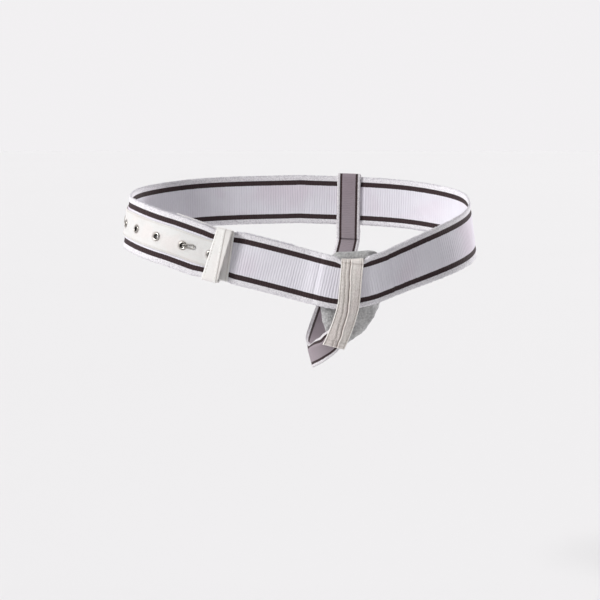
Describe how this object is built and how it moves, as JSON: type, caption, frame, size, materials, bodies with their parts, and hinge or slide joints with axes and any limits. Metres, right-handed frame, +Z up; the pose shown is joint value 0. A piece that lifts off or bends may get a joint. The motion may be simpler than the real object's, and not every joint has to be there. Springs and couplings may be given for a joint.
{
  "type": "hernia belt",
  "caption": "Elastic belt in a ring that dips at the front, with a groin pad on a leather loop, a leg strap, and a hook and eyelet closure under a keeper.",
  "frame": {"origin": "middle of the belt's ring, at the height of the hips that hold it, 0.036 m under the middle line of the belt's back", "axes": "+Z up along the body that wears it; -Y to the front; +X to the side that the groin pad lies on, which is the wearer's left"},
  "size_m": [0.3467, 0.2233, 0.1879],
  "materials": {
    "elastic": "ribbed elastic webbing with dark brown stripes",
    "cream_leather": "smooth",
    "pad_cotton": "soft brushed cloth",
    "nickel": "polished"
  },
  "bodies": {
    "root": {"elastic_belt": "elastic", "end_patch": "cream_leather", "eyelet_tab": "cream_leather", "keeper_loop": "cream_leather", "wire_hook": "nickel", "groin_pad": "pad_cotton", "pad_loop": "cream_leather", "leg_strap": "elastic", "eyelet_1": "nickel", "eyelet_2": "nickel", "eyelet_3": "nickel", "eyelet_4": "nickel", "eyelet_5": "nickel", "eyelet_6": "nickel"}
  },
  "joints": []
}
